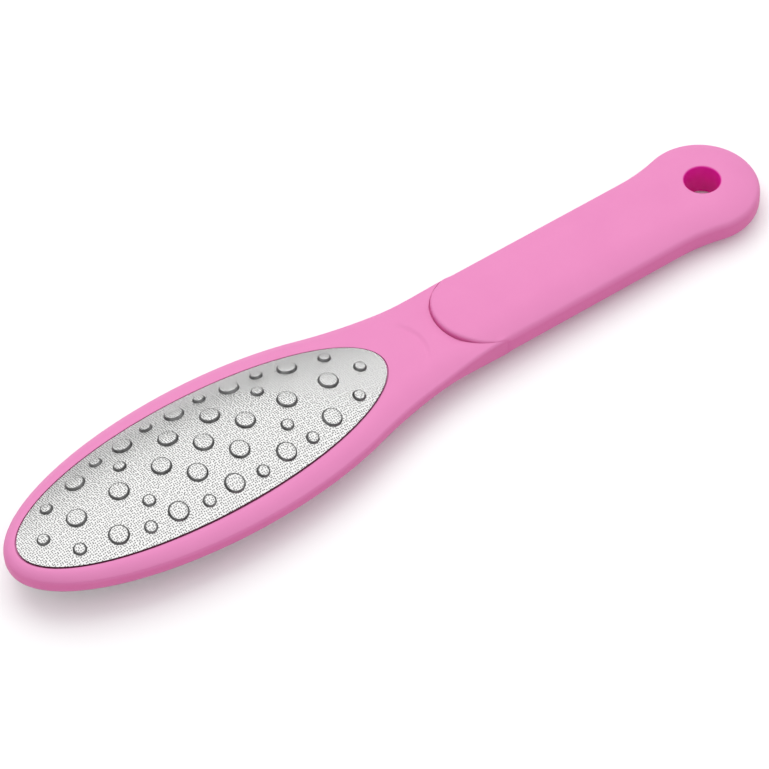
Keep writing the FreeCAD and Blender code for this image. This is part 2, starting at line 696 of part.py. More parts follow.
def bump_cone(name, x, y, radius, depth):
    """Stub cone square to the dome at x, y; depth moves it in along the dome's normal."""
    sink = "(%s * Sizes.plate_sheet)" % BUMP_SINK_SHARE
    foot = "%s - (%s)" % (radius, depth)
    cone = add("Part::Cone", name, Radius1=foot, Radius2=foot + " - Sizes.bump_wall",
               Height="Sizes.bump_height + " + sink)
    along = "sqrt({0}^2 - ({1})^2)".format(DOME_LONG, x)
    across = "({0} - {1} + {2})".format(along, DOME_LONG, CROWN)
    rise = "sqrt({0}^2 - ({1})^2)".format(across, y)
    lean_x = "(({0}) * {1} / {2})".format(x, across, along)
    lean_y = "({0})".format(y)
    length = "sqrt({0}^2 + {1}^2)".format(lean_x, across)
    in_by = "(({0} + {1}) / {2})".format(sink, depth, length)
    flat_x, flat_y = value_of(lean_x), value_of(lean_y)
    if flat_x or flat_y:
        tilt(cone, Vector(-flat_y, flat_x, 0), "acos({0} / {1})".format(rise, length))
        cone.setExpression("Placement.Rotation.Axis.x", "-" + lean_y)
        cone.setExpression("Placement.Rotation.Axis.y", lean_x)
    return place(cone, "({0}) - {1} * {2}".format(x, lean_x, in_by),
                 "({0}) - {1} * {2}".format(y, lean_y, in_by),
                 "{0} + {1} - {1} * {2}".format(DOME_CENTRE, rise, in_by))


def cut_sheet(name, outside, inside):
    """Oval cut from the space between two domes."""
    edge = ellipse_prism(name + "_edge", size("plate_half_length"), size("plate_half_width"), "0", CUT_TOP)
    return boolean("Common", name, boolean("Cut", name + "_skin", outside, inside), edge)


def press_bumps(name, sheet_blank):
    """Bumps raised from the outside of the sheet and hollow behind."""
    raised, hollow = (
        [bump_cone("%s_bump_%d" % (side, i), *where, depth) for i, where in enumerate(bump_places())]
        for side, depth in (("raised", "0"), ("hollow", size("plate_sheet")))
    )
    print("bumps on the coarse plate: %d" % len(raised))
    return boolean("Cut", name, fuse_all("raised_bumps", [sheet_blank] + raised),
                   fuse_all("hollow_bumps", hollow))


face = dome("plate_face", "0")
back = dome("plate_back", size("plate_sheet"))
support = dome("film_back", "Sizes.plate_sheet + Sizes.bond_film")
grip_blank = grip_body()
tang = tang_body()
core_frame = make_frame(grip_blank, tang, support)
soft_grip = boolean("Cut", "soft_grip", grip_blank, tang)
plain_plate = cut_sheet("plain_plate", face, back)
coarse_plate = press_bumps("coarse_plate", plain_plate)
coarse_film = cut_sheet("coarse_bond_film", back, support)
fine_plate = turned_over("fine_plate", plain_plate)
fine_film = turned_over("fine_bond_film", cut_sheet("plain_film", back, support))

# The part's frame: origin under the middle of the length, at the level of the back plate's crown
TIP = "(%s - %s)" % (HEAD_CENTRE, HEAD_HALF_LENGTH)
END = "(%s + %s)" % (EYE_CENTRE, EYE_RADIUS)
pieces = [core_frame, soft_grip, coarse_plate, coarse_film, fine_plate, fine_film]
for piece in pieces:
    place(piece, x="-(%s + %s) / 2" % (TIP, END), z=DOME_TOP)
doc.recompute()

failed = [thing.Label for thing in doc.Objects if "Invalid" in thing.State or "Error" in thing.State]
for piece in pieces:
    if piece.Shape.isNull() or not piece.Shape.isValid() or len(piece.Shape.Solids) != 1:
        failed.append(piece.Label)
if failed:
    raise RuntimeError("failed: " + ", ".join(failed))

os.makedirs("parts", exist_ok=True)
for piece in pieces:
    piece.Shape.exportStep("parts/%s.step" % piece.Label)
    box = piece.Shape.optimalBoundingBox(False)
    print("%-18s %9.1f mm3  x %.2f..%.2f  y %.2f..%.2f  z %.2f..%.2f" % (
        piece.Label, piece.Shape.Volume, box.XMin, box.XMax, box.YMin, box.YMax, box.ZMin, box.ZMax))
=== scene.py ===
# %% [markdown]
# # A foot file, dressed on its measured frame
# The real object is a flat paddle: a hard plastic frame with an oval head, a domed steel sheet let into
# each face of the head, and a soft grip moulded over the frame's tail, with an eye to hang it by. The
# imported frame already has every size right, so each piece here is a finer copy of one of its nodes,
# modelled in the same place, and then given the finish of the real material.

# %% Load the frame
import json
import math

import bmesh
import bpy
from mathutils import Matrix, Vector


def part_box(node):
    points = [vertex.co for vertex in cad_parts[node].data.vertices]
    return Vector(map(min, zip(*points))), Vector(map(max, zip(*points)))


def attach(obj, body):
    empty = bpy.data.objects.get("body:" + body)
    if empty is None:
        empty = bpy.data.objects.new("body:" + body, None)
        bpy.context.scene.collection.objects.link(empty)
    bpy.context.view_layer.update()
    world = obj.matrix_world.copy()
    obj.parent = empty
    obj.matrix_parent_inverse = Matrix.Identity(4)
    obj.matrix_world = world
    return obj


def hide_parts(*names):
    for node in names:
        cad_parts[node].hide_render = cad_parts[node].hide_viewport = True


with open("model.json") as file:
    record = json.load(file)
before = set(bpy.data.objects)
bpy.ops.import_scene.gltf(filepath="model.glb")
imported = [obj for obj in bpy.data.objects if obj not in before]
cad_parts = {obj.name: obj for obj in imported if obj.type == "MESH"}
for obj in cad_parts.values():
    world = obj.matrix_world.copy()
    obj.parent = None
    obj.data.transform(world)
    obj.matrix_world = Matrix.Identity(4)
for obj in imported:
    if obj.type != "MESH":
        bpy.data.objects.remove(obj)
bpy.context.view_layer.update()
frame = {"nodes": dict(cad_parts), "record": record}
bpy.ops.object.select_all(action="DESELECT")
print("nodes:", ", ".join(sorted(frame["nodes"])))

# %% [markdown]
# ## Measures
# The file is the same above and below its mid-plane, so the pieces are modelled with that plane at z = 0
# and the middle of the plates at x = 0, and moved home when they are done. The large sizes are read from
# the frame's boxes. The small ones, such as roundings and gaps, are set where they are used.

# %% Measures
MM = 0.001
plate_low, plate_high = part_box("coarse_plate")
back_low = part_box("fine_plate")[0]
grip_low, grip_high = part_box("soft_grip")
frame_low, frame_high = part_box("core_frame")
hole = frame["record"]["mounts"][0]
HOME = Vector(((plate_low.x + plate_high.x) / 2, 0, (grip_low.z + grip_high.z) / 2))

PLATE_HALF_LENGTH = (plate_high.x - plate_low.x) / 2
PLATE_HALF_WIDTH = (plate_high.y - plate_low.y) / 2
PLATE_GAP = 0.45 * MM
POCKET_HALF_LENGTH = PLATE_HALF_LENGTH + PLATE_GAP
POCKET_HALF_WIDTH = PLATE_HALF_WIDTH + PLATE_GAP
HEAD_HALF_WIDTH = (frame_high.y - frame_low.y) / 2
HEAD_CENTRE = 3.075 * MM
HEAD_HALF_LENGTH = HEAD_CENTRE - (frame_low.x - HOME.x)
GRIP_HALF_WIDTH = 13.1 * MM
GRIP_HALF_THICKNESS = (grip_high.z - grip_low.z) / 2
GRIP_FRONT = grip_low.x - HOME.x
EYE_RADIUS = (grip_high.y - grip_low.y) / 2
EYE_X = grip_high.x - HOME.x - EYE_RADIUS
HOLE_X = hole["pos_m"][0] - HOME.x
HOLE_RADIUS = hole["dims"]["r_mm"] * MM
print("head %.1f x %.1f mm" % (2 * HEAD_HALF_LENGTH / MM, 2 * HEAD_HALF_WIDTH / MM))
print("grip %.1f mm wide, %.1f mm thick" % (2 * GRIP_HALF_WIDTH / MM, 2 * GRIP_HALF_THICKNESS / MM))

# %% [markdown]
# ## Working by rings
# Most of this object is a smooth skin that changes from one outline to another: rim, neck, grip edge. By
# hand one would extrude an edge loop again and again and move each new loop into place. The helpers below
# do that. Every vertex of the first circle gets a number along the outline, and because extruding copies a
# vertex with its attributes, the number tells where the copy belongs on the next ring.

# %% Helpers for rings and selections
NEAR = 0.01 * MM
MERGE = 0.002 * MM
SMOOTH_ANGLE = math.radians(35)


def open_piece(name):
    """Name the primitive that was just added, and open it in edit mode with nothing selected."""
    piece = bpy.context.object
    piece.name = piece.data.name = name
    bpy.ops.object.mode_set(mode="EDIT")
    bpy.ops.mesh.select_mode(type="EDGE")
    bpy.ops.mesh.select_all(action="DESELECT")
    return piece


def start_ring(name, steps, numbers):
    """Circle of that many vertices, numbered along the outline, all on ring 0."""
    bpy.ops.mesh.primitive_circle_add(vertices=steps, radius=PLATE_HALF_LENGTH)
    mesh = bpy.context.object.data
    mesh.attributes.new("around", "INT", "POINT").data.foreach_set("value", numbers)
    mesh.attributes.new("ring", "INT", "POINT")
    piece = open_piece(name)
    bpy.ops.mesh.select_all(action="SELECT")
    return piece


def lay_ring(piece, ring, place):
    """Put each selected vertex where place says for its number, and note its ring."""
    mesh = bmesh.from_edit_mesh(piece.data)
    around, rings = mesh.verts.layers.int["around"], mesh.verts.layers.int["ring"]
    for vert in mesh.verts:
        if vert.select:
            vert.co = place(vert[around])
            vert[rings] = ring
    bmesh.update_edit_mesh(piece.data)


def extrude_ring(piece, ring, place):
    """Extrude the selected ring and put the new one in its place."""
    bpy.ops.mesh.extrude_region_move()
    lay_ring(piece, ring, place)


def pick_edges(piece, wanted):
    """Select the edges for which wanted says yes, and nothing else."""
    bpy.ops.mesh.select_mode(type="EDGE")
    bpy.ops.mesh.select_all(action="DESELECT")
    mesh = bmesh.from_edit_mesh(piece.data)
    picked = [edge for edge in mesh.edges if wanted(edge)]
    for edge in picked:
        edge.select_set(True)
    bmesh.update_edit_mesh(piece.data)
    return len(picked)


def mirror_down(piece):
    """Close the upper half of a piece with its mirror image below the mid-plane."""
    bpy.ops.mesh.select_all(action="SELECT")
    bpy.ops.mesh.remove_doubles(threshold=MERGE)
    bpy.ops.object.mode_set(mode="OBJECT")
    bpy.ops.object.modifier_add(type="MIRROR")
    mirror = piece.modifiers[-1]
    mirror.use_axis = (False, False, True)
    mirror.merge_threshold = MERGE
    bpy.ops.object.modifier_apply(modifier=mirror.name)
    bpy.ops.object.mode_set(mode="EDIT")


def bring_home(piece):
    """Turn every face outwards, move the mesh to its place in the frame, and shade it smooth."""
    bpy.ops.mesh.select_all(action="SELECT")
    bpy.ops.mesh.normals_make_consistent(inside=False)
    bpy.ops.transform.translate(value=HOME)
    bpy.ops.object.mode_set(mode="OBJECT")
    bpy.ops.object.shade_smooth_by_angle(angle=SMOOTH_ANGLE)
    open_edges = sum(1 for edge in edges_of(piece) if len(edge) != 2)
    print("%s: %d faces, %d open edges" % (piece.name, len(piece.data.polygons), open_edges))
    bpy.ops.object.select_all(action="DESELECT")


def edges_of(piece):
    """For each edge of a mesh, the list of the faces on it."""
    faces = {}
    for polygon in piece.data.polygons:
        for key in polygon.edge_keys:
            faces.setdefault(key, []).append(polygon.index)
    return faces.values()


# %% [markdown]
# ## The frame's outline
# Seen from above, the frame is a spoon: an ellipse for the head, a hollow arc on each side, and a straight
# neck that ends where the grip's round front begins. The same kind of outline, drawn smaller, runs along
# the top of the rim and of the neck. Numbers run from one corner at the grip, round the tip of the head at
# 0, to the other corner, so one function can place any ring between the two outlines. Towards the grip the
# sides of the neck rise like shoulders, to the height of the grip's edge.

# %% Outline of the frame
RIM_EDGE = 1.3 * MM
RIM_CREST = 3.2 * MM
FRONT_CENTRE = GRIP_FRONT + GRIP_HALF_WIDTH
HEAD_STEPS = 90
HOLLOW_STEPS = 40
NECK_STEPS = 16
HALF_STEPS = HEAD_STEPS + HOLLOW_STEPS + NECK_STEPS
HALVINGS = 50
SHOULDER_RISE = 1.4 * MM
SHOULDER_RUN = 9.0 * MM
SHOULDER_POWER = 1.5
EDGE_RUN_ON = 9.5 * MM
CREST_RUN_UP = 6.2 * MM
NECK_STEP = 0.15 * MM
CREST_HALF_WIDTH = 6.45 * MM
# half length, half width, centre, x where the neck turns straight, half width of the neck
RIM_OUTER = (HEAD_HALF_LENGTH, HEAD_HALF_WIDTH, HEAD_CENTRE,
             GRIP_FRONT + EDGE_RUN_ON, GRIP_HALF_WIDTH - NECK_STEP)
RIM_INNER = (POCKET_HALF_LENGTH, POCKET_HALF_WIDTH, 0.0,
             GRIP_FRONT - CREST_RUN_UP, CREST_HALF_WIDTH)


def departure(half_length, half_width, neck, straight):
    """Where an arc leaves the ellipse so that it touches the neck's side at x = straight."""
    low, high = math.asin(neck / half_width), math.pi / 2
    for _ in range(HALVINGS):
        turn = (low + high) / 2
        x, y = half_length * math.cos(turn), half_width * math.sin(turn)
        slope = math.atan2(half_width * math.cos(turn), half_length * math.sin(turn))
        if x + (y - neck) / math.tan(slope / 2) < straight:
            low = turn
        else:
            high = turn
    return turn, slope, (y - neck) / (1 - math.cos(slope))


def seat_x(y):
    """The grip's round front, where the frame ends."""
    return FRONT_CENTRE - math.sqrt(GRIP_HALF_WIDTH ** 2 - y ** 2)


def smooth_step(value):
    """0 below 0, 1 above 1, and a soft slope between."""
    value = min(max(value, 0.0), 1.0)
    return value * value * (3 - 2 * value)


def spoon_ring(share, level):
    """Places on the ring that lies this share of the way from the outer edge to the inner one."""
    a, b, centre, straight, neck = (out + share * (inn - out) for out, inn in zip(RIM_OUTER, RIM_INNER))
    turn, slope, radius = departure(a, b, neck, straight - centre)

    def place(number):
        step, side = abs(number), math.copysign(1, number)
        if step <= HEAD_STEPS:
            angle = math.pi - (math.pi - turn) * step / HEAD_STEPS
            x, y = centre + a * math.cos(angle), b * math.sin(angle)
        elif step <= HEAD_STEPS + HOLLOW_STEPS:
            angle = slope * (1 - (step - HEAD_STEPS) / HOLLOW_STEPS)
            x, y = straight - radius * math.sin(angle), neck + radius * (1 - math.cos(angle))
        else:
            along = (step - HEAD_STEPS - HOLLOW_STEPS) / NECK_STEPS
            x, y = straight + (seat_x(neck) - straight) * along, neck
        near_grip = smooth_step((x - GRIP_FRONT + SHOULDER_RUN) / (2 * SHOULDER_RUN))
        rise = SHOULDER_RISE * near_grip * (1 - share) ** SHOULDER_POWER if level > 0 else 0
        return Vector((x, side * y, level + rise))

    return place


tip = spoon_ring(0, 0)(0)
corner = spoon_ring(0, 0)(HALF_STEPS)
print("outline from x = %.1f mm at the tip to %.1f mm at the grip" % (tip.x / MM, corner.x / MM))

# %% [markdown]
# ## The frame: side wall and rim
# The first ring lies on the mid-plane. One extrusion raises the side wall, and the rest carry the skin
# inwards over the rounded rim to the edge of the recess. The rim rises quickly at first and is almost flat
# at its crest, so its height is a parabola of the way inwards.

# %% Side wall and rim of the frame
RIM_RINGS = 12
LAST_RING = RIM_RINGS + 1
RIM_BULGE = 1.15


def rim_level(share):
    """Height of the rim this share of the way inwards."""
    return RIM_EDGE + (RIM_CREST - RIM_EDGE) * (share + RIM_BULGE * share * (1 - share))


numbers = list(range(-HALF_STEPS, HALF_STEPS + 1))
moulding = start_ring("frame_moulding", len(numbers), numbers)
lay_ring(moulding, 0, spoon_ring(0, 0))
around = bmesh.from_edit_mesh(moulding.data).verts.layers.int["around"]
pick_edges(moulding, lambda edge: abs(edge.verts[0][around] - edge.verts[1][around]) > 1)
bpy.ops.mesh.delete(type="EDGE_FACE")
bpy.ops.mesh.select_all(action="SELECT")
extrude_ring(moulding, 1, spoon_ring(0, RIM_EDGE))
for ring in range(1, RIM_RINGS + 1):
    extrude_ring(moulding, ring + 1, spoon_ring(ring / RIM_RINGS, rim_level(ring / RIM_RINGS)))
print("rim rings:", RIM_RINGS, "of", len(numbers), "vertices")

# %% [markdown]
# ## The neck
# Between the two sides of the neck lies a flat top. Bridging the two edge chains fills it with rows of
# faces, whose ends are straight at first. They are then bent to the round end of the recess on one side
# and to the grip's round front on the other.

# %% Top of the neck
NECK_CUTS = 47


def on_neck_chain(edge):
    """Whether an edge lies on the crest along one side of the neck."""
    rings, turns = mesh.verts.layers.int["ring"], mesh.verts.layers.int["around"]
    a, b = (vert[turns] for vert in edge.verts)
    on_crest = all(vert[rings] == LAST_RING for vert in edge.verts)
    return on_crest and a * b > 0 and min(abs(a), abs(b)) >= HEAD_STEPS


mesh = bmesh.from_edit_mesh(moulding.data)
skin_count = len(mesh.verts)
pick_edges(moulding, on_neck_chain)
bpy.ops.mesh.bridge_edge_loops(number_cuts=NECK_CUTS, interpolation="LINEAR")

inner = spoon_ring(1, RIM_CREST)
side_of_row = {inner(n).x: inner(n).y for n in range(HEAD_STEPS, HALF_STEPS + 1)}
row_start, row_end = inner(HEAD_STEPS), inner(HALF_STEPS)
mesh = bmesh.from_edit_mesh(moulding.data)
mesh.verts.ensure_lookup_table()
for vert in mesh.verts[skin_count:]:
    half = min(side_of_row.items(), key=lambda item: abs(item[0] - vert.co.x))[1]
    along = (vert.co.x - row_start.x) / (row_end.x - row_start.x)
    across = vert.co.y / half
    pocket_end = POCKET_HALF_LENGTH * math.sqrt(1 - (across * row_start.y / POCKET_HALF_WIDTH) ** 2)
    vert.co.x += (1 - along) * (pocket_end - row_start.x) + along * (seat_x(across * row_end.y) - row_end.x)
bmesh.update_edit_mesh(moulding.data)
print("neck rows:", len(side_of_row))

# %% [markdown]
# Where the neck meets the grip, a fine groove runs along the joint and fades out towards the sides: the last
# row of the skin is brought down a little, and the grip's front wall will stand behind it.

# %% Groove along the joint
JOINT_GROOVE = 0.35 * MM
GROOVE_END = 11.5 * MM
GROOVE_FADE = 4.0 * MM

mesh = bmesh.from_edit_mesh(moulding.data)
joint = [v for v in mesh.verts if v.is_boundary and v.co.x > GRIP_FRONT - NEAR and v.co.z > RIM_EDGE + NEAR]
for vert in joint:
    vert.co.z -= JOINT_GROOVE * smooth_step((GROOVE_END - abs(vert.co.y)) / GROOVE_FADE)
bmesh.update_edit_mesh(moulding.data)
print("joint vertices:", len(joint))

# %% [markdown]
# ## The thumb dimple
# A shallow crescent is pressed into the neck: its wall curves round like the edge of a coin and its floor
# runs out flush towards the plate. The skin is fine enough here to push it down by a formula: a tilted
# floor, cut off by a soft step along a circle.

# %% Thumb dimple
DIMPLE_WALL = GRIP_FRONT - 5.6 * MM
DIMPLE_RADIUS = 10.7 * MM
DIMPLE_DEPTH = 0.6 * MM
DIMPLE_LENGTH = 7.5 * MM
DIMPLE_SOFTNESS = 1.6 * MM
DIMPLE_POWER = 1.5


def dimple(x, y):
    """How deep the neck is pressed in at x, y."""
    way = max(1 - (DIMPLE_WALL - x) / DIMPLE_LENGTH, 0.0)
    floor = DIMPLE_DEPTH * min(way, 1.0) ** DIMPLE_POWER
    inside = DIMPLE_RADIUS - math.hypot(x - DIMPLE_WALL + DIMPLE_RADIUS, y)
    return floor * smooth_step(0.5 + inside / DIMPLE_SOFTNESS)


mesh = bmesh.from_edit_mesh(moulding.data)
pressed = [vert for vert in mesh.verts if vert.co.z > RIM_EDGE and dimple(vert.co.x, vert.co.y) > 0]
for vert in pressed:
    vert.co.z -= dimple(vert.co.x, vert.co.y)
bmesh.update_edit_mesh(moulding.data)
print("dimple moves", len(pressed), "vertices")

# %% [markdown]
# ## The recess and the seat
# Two openings are left in the skin. The oval one becomes the recess: its edge is extruded down, in to a
# ledge, down to the web, and filled. The other lies against the grip: its edge is extruded and flattened
# onto the mid-plane. A bevel then softens the rim's outer edge, and a mirror adds the lower half.

# %% Recess, seat and lower half of the frame
LEDGE_LEVEL = 2.7 * MM
LEDGE_WIDTH = 2.6 * MM
WEB_LEVEL = 1.1 * MM
RIM_ROUND = 0.7 * MM
RIM_SEGMENTS = 5
OVAL_NEAR = 1e-4


def on_pocket(edge):
    """Whether an edge lies on the open oval of the recess."""
    def on_oval(vert):
        oval = math.hypot(vert.co.x / POCKET_HALF_LENGTH, vert.co.y / POCKET_HALF_WIDTH)
        return abs(oval - 1) < OVAL_NEAR and vert.co.z > RIM_EDGE

    return edge.is_boundary and all(on_oval(vert) for vert in edge.verts)


def on_seat(edge):
    """Whether an edge lies on the open end against the grip."""
    def seated(vert):
        away = vert.co.x - seat_x(min(abs(vert.co.y), GRIP_HALF_WIDTH))
        return abs(away) < NEAR and vert.co.z > RIM_EDGE / 2

    return edge.is_boundary and all(seated(vert) for vert in edge.verts)


def on_rim_edge(edge):
    """Whether an edge lies between the side wall and the rim."""
    rings = bmesh.from_edit_mesh(moulding.data).verts.layers.int["ring"]
    return all(v[rings] == 1 and v.co.z > RIM_EDGE - NEAR for v in edge.verts)


print("recess edges:", pick_edges(moulding, on_pocket))
bpy.ops.mesh.extrude_region_move()
bpy.ops.transform.resize(value=(1, 1, 0), center_override=(0, 0, 0))
bpy.ops.transform.translate(value=(0, 0, LEDGE_LEVEL))
bpy.ops.mesh.extrude_region_move()
inwards = (1 - LEDGE_WIDTH / POCKET_HALF_LENGTH, 1 - LEDGE_WIDTH / POCKET_HALF_WIDTH, 1)
bpy.ops.transform.resize(value=inwards, center_override=(0, 0, 0))
bpy.ops.mesh.extrude_region_move(TRANSFORM_OT_translate={"value": (0, 0, WEB_LEVEL - LEDGE_LEVEL)})
bpy.ops.mesh.edge_face_add()
print("seat edges:", pick_edges(moulding, on_seat))
bpy.ops.mesh.extrude_region_move()
bpy.ops.transform.resize(value=(1, 1, 0), center_override=(0, 0, 0))
bpy.ops.mesh.select_all(action="SELECT")
bpy.ops.mesh.remove_doubles(threshold=MERGE)
print("rim edges:", pick_edges(moulding, on_rim_edge))
bpy.ops.mesh.bevel(offset=RIM_ROUND, segments=RIM_SEGMENTS, affect="EDGES")
mirror_down(moulding)
bring_home(moulding)

# %% [markdown]
# ## The grip
# The grip is a thick tongue with a round front, straight sides and a round eye, joined by a hollow flare on
# each side. Its outline is followed once, with the direction outwards at every point. Along the sides the
# skin turns over a round edge and climbs a gentle slope to the crown in the middle. At the front, where the
# grip stands on the neck, a roll leads onto the crown, and between the two the profiles are blended.

# %% Outline of the grip
FLARE_RADIUS = 48 * MM
SIDE_ROUND = 2.0 * MM
SIDE_LEVEL = 1.23 * MM
EDGE_SWING = math.radians(67)
FRONT_ROUND = 1.0 * MM
SIDE_ROLL_SHARE = 0.25
BLEND_START_SHARE = 0.8
CROWN_WIDTH = 8.4 * MM
FRONT_STEPS, SIDE_STEPS, FLARE_STEPS, EYE_STEPS = 48, 24, 12, 48
GRIP_STEPS = FRONT_STEPS + SIDE_STEPS + FLARE_STEPS + EYE_STEPS
EDGE_RINGS = 8
CROWN_RINGS = 7
FLARE_RUN = math.sqrt((EYE_RADIUS + FLARE_RADIUS) ** 2 - (GRIP_HALF_WIDTH + FLARE_RADIUS) ** 2)
FLARE_SWING = math.atan2(FLARE_RUN, GRIP_HALF_WIDTH + FLARE_RADIUS)


def grip_edge(step):
    """Point on one side of the grip's outline and its direction outwards, from the front to the eye's end."""
    if step <= FRONT_STEPS:
        angle = math.pi / 2 * step / FRONT_STEPS
        out = Vector((-math.cos(angle), math.sin(angle)))
        return Vector((FRONT_CENTRE, 0)) + GRIP_HALF_WIDTH * out, out
    step -= FRONT_STEPS
    flare_start = EYE_X - FLARE_RUN
    if step <= SIDE_STEPS:
        x = FRONT_CENTRE + (flare_start - FRONT_CENTRE) * step / SIDE_STEPS
        return Vector((x, GRIP_HALF_WIDTH)), Vector((0, 1))
    step -= SIDE_STEPS
    if step <= FLARE_STEPS:
        angle = FLARE_SWING * step / FLARE_STEPS
        out = Vector((-math.sin(angle), math.cos(angle)))
        return Vector((flare_start, GRIP_HALF_WIDTH + FLARE_RADIUS)) - FLARE_RADIUS * out, out
    angle = (math.pi / 2 + FLARE_SWING) * (1 - (step - FLARE_STEPS) / EYE_STEPS)
    out = Vector((math.cos(angle), math.sin(angle)))
    return Vector((EYE_X, 0)) + EYE_RADIUS * out, out


def side_profile(ring):
    """Distance in from the outline and height at this ring: a round edge, then a slope up to the crown."""
    if ring <= EDGE_RINGS:
        angle = EDGE_SWING * ring / EDGE_RINGS
        return SIDE_ROUND * (1 - math.cos(angle)), SIDE_LEVEL + SIDE_ROUND * math.sin(angle)
    start = side_profile(EDGE_RINGS)[0]
    inset = start + (CROWN_WIDTH - start) * (ring - EDGE_RINGS) / CROWN_RINGS
    return inset, crown_level(inset)


def crown_level(inset):
    """Height of the crowned top at this distance in from the line of the grip's side."""
    start, level = side_profile(EDGE_RINGS)
    left = min(max((CROWN_WIDTH - inset) / (CROWN_WIDTH - start), 0), 1)
    return GRIP_HALF_THICKNESS - left ** 2 * (GRIP_HALF_THICKNESS - level)


def front_profile(ring, out):
    """The same at the front, where a roll that fades towards the sides leads onto the crown."""
    angle = math.pi / 2 * min(ring / EDGE_RINGS, 1)
    way = max(ring - EDGE_RINGS, 0) / CROWN_RINGS
    roll = FRONT_ROUND * (SIDE_ROLL_SHARE + (1 - SIDE_ROLL_SHARE) * abs(out.x))
    inset = roll * (1 - math.cos(angle))
    inset += way * (CROWN_WIDTH - inset)
    from_side = GRIP_HALF_WIDTH - (GRIP_HALF_WIDTH - inset) * out.y
    return inset, crown_level(from_side) - roll * (1 - math.sin(angle))


def grip_ring(ring):
    """Places on this ring of the grip's skin."""
    def place(number):
        point, out = grip_edge(abs(number))
        share = smooth_step((abs(number) / FRONT_STEPS - BLEND_START_SHARE) / (1 - BLEND_START_SHARE))
        profiles = zip(front_profile(ring, out), side_profile(ring))
        inset, level = (front + share * (side - front) for front, side in profiles)
        x, y = point - inset * out
        return Vector((x, math.copysign(1, number) * y, level))

    return place


print("flare %.1f mm long, eye %.1f mm wide" % (FLARE_RUN / MM, 2 * EYE_RADIUS / MM))

# %% Skin of the grip
TOP_MARGIN = 0.4 * MM
numbers = [i if i <= GRIP_STEPS else i - 2 * GRIP_STEPS for i in range(2 * GRIP_STEPS)]
sleeve = start_ring("grip_sleeve", len(numbers), numbers)
lay_ring(sleeve, 0, grip_ring(0))
bpy.ops.transform.resize(value=(1, 1, 0), center_override=(0, 0, 0))
for ring in range(EDGE_RINGS + CROWN_RINGS + 1):
    extrude_ring(sleeve, ring + 1, grip_ring(ring))
bpy.ops.mesh.edge_face_add()
bpy.ops.mesh.select_mode(type="FACE")
bpy.ops.mesh.inset(thickness=TOP_MARGIN)
mirror_down(sleeve)
bpy.ops.mesh.select_all(action="SELECT")
bpy.ops.mesh.normals_make_consistent(inside=False)
bpy.ops.object.mode_set(mode="OBJECT")
print("grip skin:", len(sleeve.data.polygons), "faces")

# %% [markdown]
# ## The hanging hole
# A round hole goes straight through the eye. Subtracting a cylinder with a boolean is the quickest way to
# get it, and a bevel on its two rims gives the soft edge that a moulded hole has.

# %% Hanging hole
HOLE_ROUND = 0.5 * MM
HOLE_SEGMENTS = 6
HOLE_SIDES = 96
DRILL_LENGTH = 4 * GRIP_HALF_THICKNESS


def apply_boolean(piece, tool, operation):
    """Join a tool to a piece or cut it away, and delete the tool."""
    bpy.ops.object.select_all(action="DESELECT")
    bpy.context.view_layer.objects.active = piece
    piece.select_set(True)
    bpy.ops.object.modifier_add(type="BOOLEAN")
    boolean = piece.modifiers[-1]
    boolean.operation = operation
    boolean.object = tool
    boolean.solver = "EXACT"
    bpy.ops.object.modifier_apply(modifier=boolean.name)
    bpy.data.objects.remove(tool)


def on_hole_rim(edge):
    """Whether an edge lies on one of the two rims of the hole."""
    def on_rim(vert):
        away = math.hypot(vert.co.x - HOLE_X, vert.co.y) - HOLE_RADIUS
        return abs(away) < NEAR and abs(abs(vert.co.z) - GRIP_HALF_THICKNESS) < NEAR

    climb = edge.verts[0].co.z - edge.verts[1].co.z
    return abs(climb) < NEAR and all(on_rim(vert) for vert in edge.verts)


bpy.ops.mesh.primitive_cylinder_add(
    vertices=HOLE_SIDES, radius=HOLE_RADIUS, depth=DRILL_LENGTH, location=(HOLE_X, 0, 0))
apply_boolean(sleeve, bpy.context.object, "DIFFERENCE")
bpy.ops.object.mode_set(mode="EDIT")
print("hole edges:", pick_edges(sleeve, on_hole_rim))
bpy.ops.mesh.bevel(offset=HOLE_ROUND, segments=HOLE_SEGMENTS, affect="EDGES")
bring_home(sleeve)

# %% [markdown]
# ## The plates
# Each plate is an oval of thin sheet pressed to a dome. A circle is stretched to the oval, filled with ever
# smaller rings, lifted onto the dome and given the sheet's thickness. The dome is a barrel: a wide arc along
# the file, turned about an axis below it, which is how the frame's own plates are made.

# %% Plain domed sheet
SHEET = 0.4 * MM
CROWN_RADIUS = 39 * MM
PLATE_EDGE = 3.5 * MM
PLATE_STEPS = 240
PLATE_RINGS = 22
SAG = CROWN_RADIUS - math.sqrt(CROWN_RADIUS ** 2 - PLATE_HALF_WIDTH ** 2)
LONG_RADIUS = (PLATE_HALF_LENGTH ** 2 + SAG ** 2) / (2 * SAG)
DOME_AXIS = PLATE_EDGE + SAG - CROWN_RADIUS


def dome_point(x, y):
    """Point of the dome above x, y."""
    across = math.sqrt(LONG_RADIUS ** 2 - x ** 2) - LONG_RADIUS + CROWN_RADIUS
    return Vector((x, y, DOME_AXIS + math.sqrt(across ** 2 - y ** 2)))


def dome_normal(x, y):
    """Direction square to the dome above x, y."""
    along = math.sqrt(LONG_RADIUS ** 2 - x ** 2)
    across = along - LONG_RADIUS + CROWN_RADIUS
    return Vector((x * across / along, y, math.sqrt(across ** 2 - y ** 2))).normalized()


